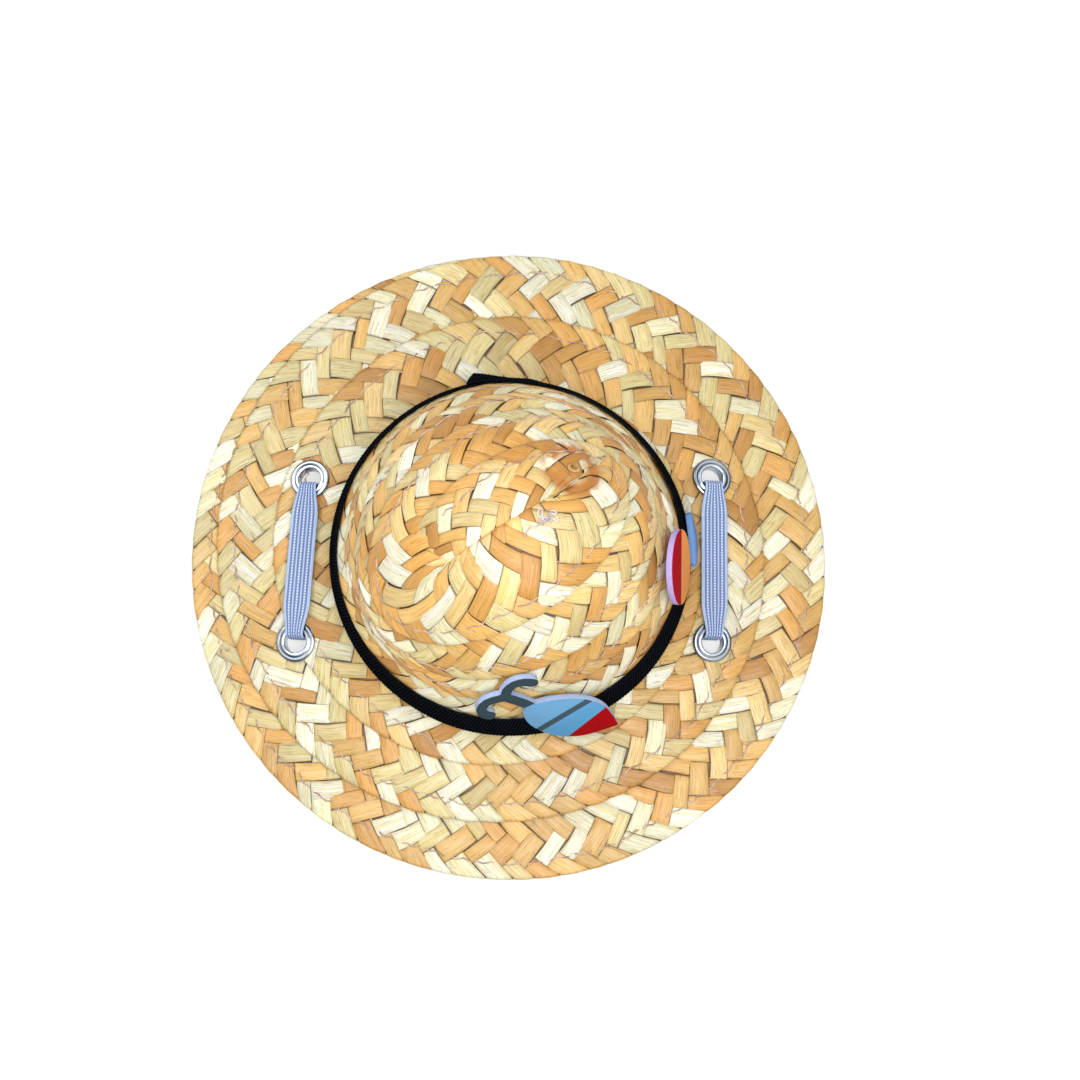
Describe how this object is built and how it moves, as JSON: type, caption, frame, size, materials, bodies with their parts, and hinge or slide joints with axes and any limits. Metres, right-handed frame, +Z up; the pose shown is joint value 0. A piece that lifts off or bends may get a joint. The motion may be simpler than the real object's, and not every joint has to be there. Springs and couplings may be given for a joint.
{
  "type": "fishing hat",
  "caption": "Small straw fishing hat for a soft toy: domed crown and round brim of sewn plait, black ribbon, eyelets with elastic ear loops and foam lures.",
  "frame": {"origin": "the middle of the ring that the brim rests on, at the bottom of the hat", "axes": "+Z up through the crown, +X to the hat's right as seen from above with the front towards -Y, where the plug lure is"},
  "size_m": [0.178, 0.178, 0.0625],
  "materials": {
    "straw_crown": "natural straw plait, satin, cream to orange-brown strands",
    "straw_brim": "natural straw plait, satin, cream to orange-brown strands",
    "ribbon": "black grosgrain, cross ribbed",
    "eyelet_metal": "bright nickel plate",
    "elastic": "flat braided elastic, lengthwise ribs, bluish white",
    "foam_plug": "die-cut foam sheet printed blue, red and slate",
    "foam_float": "die-cut foam sheet printed red and orange",
    "foam_minnow": "die-cut foam sheet, blue"
  },
  "bodies": {
    "root": {"crown": "straw_crown", "brim": "straw_brim", "hat_band": "ribbon", "eyelet_right_back": "eyelet_metal", "eyelet_right_front": "eyelet_metal", "eyelet_left_back": "eyelet_metal", "eyelet_left_front": "eyelet_metal", "elastic_left": "elastic", "elastic_right": "elastic", "plug_lure": "foam_plug", "float_lure": "foam_float", "minnow_lure": "foam_minnow"}
  },
  "joints": []
}
